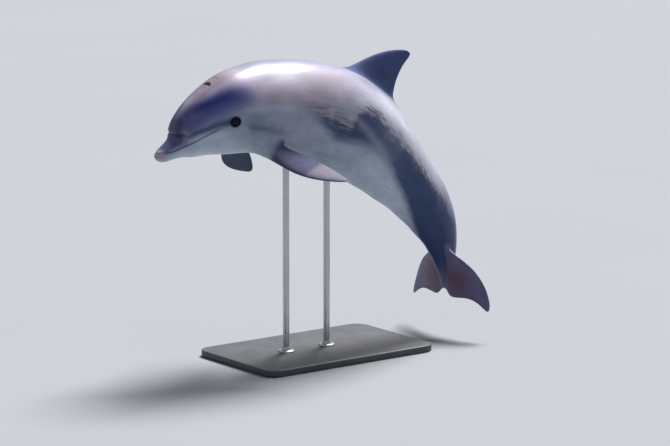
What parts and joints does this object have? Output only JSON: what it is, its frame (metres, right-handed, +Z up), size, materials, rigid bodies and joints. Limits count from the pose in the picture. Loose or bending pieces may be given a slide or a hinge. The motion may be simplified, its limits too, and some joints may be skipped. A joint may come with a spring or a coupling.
{
  "type": "leaping dolphin display model",
  "caption": "Life-size still model of a leaping bottlenose dolphin, body arched with the tail down, held over a flat base by upright rods.",
  "frame": {"origin": "middle of the bounding box, on the underside of the base", "axes": "+Z up, the beak towards -X and the flukes towards +X, the animal's right side towards +Y; its middle plane is parallel to XZ, about 24 mm to the +Y side of the origin"},
  "size_m": [1.625, 0.7113, 1.3099],
  "materials": {
    "skin": "smooth wet skin: lavender grey back, pale belly, dark tail",
    "eye": "polished, near black",
    "stand_base": "satin charcoal paint",
    "stand_rod": "brushed"
  },
  "bodies": {
    "root": {"upper_jaw": "skin", "lower_jaw": "skin", "head": "skin", "neck": "skin", "chest": "skin", "trunk": "skin", "loin": "skin", "tail_stock": "skin", "dorsal_fin": "skin", "flipper_left": "skin", "flipper_right": "skin", "fluke_left": "skin", "fluke_right": "skin", "eye_left": "eye", "eye_right": "eye", "stand_base": "stand_base", "stand_rod_front": "stand_rod", "stand_rod_rear": "stand_rod"}
  },
  "joints": []
}
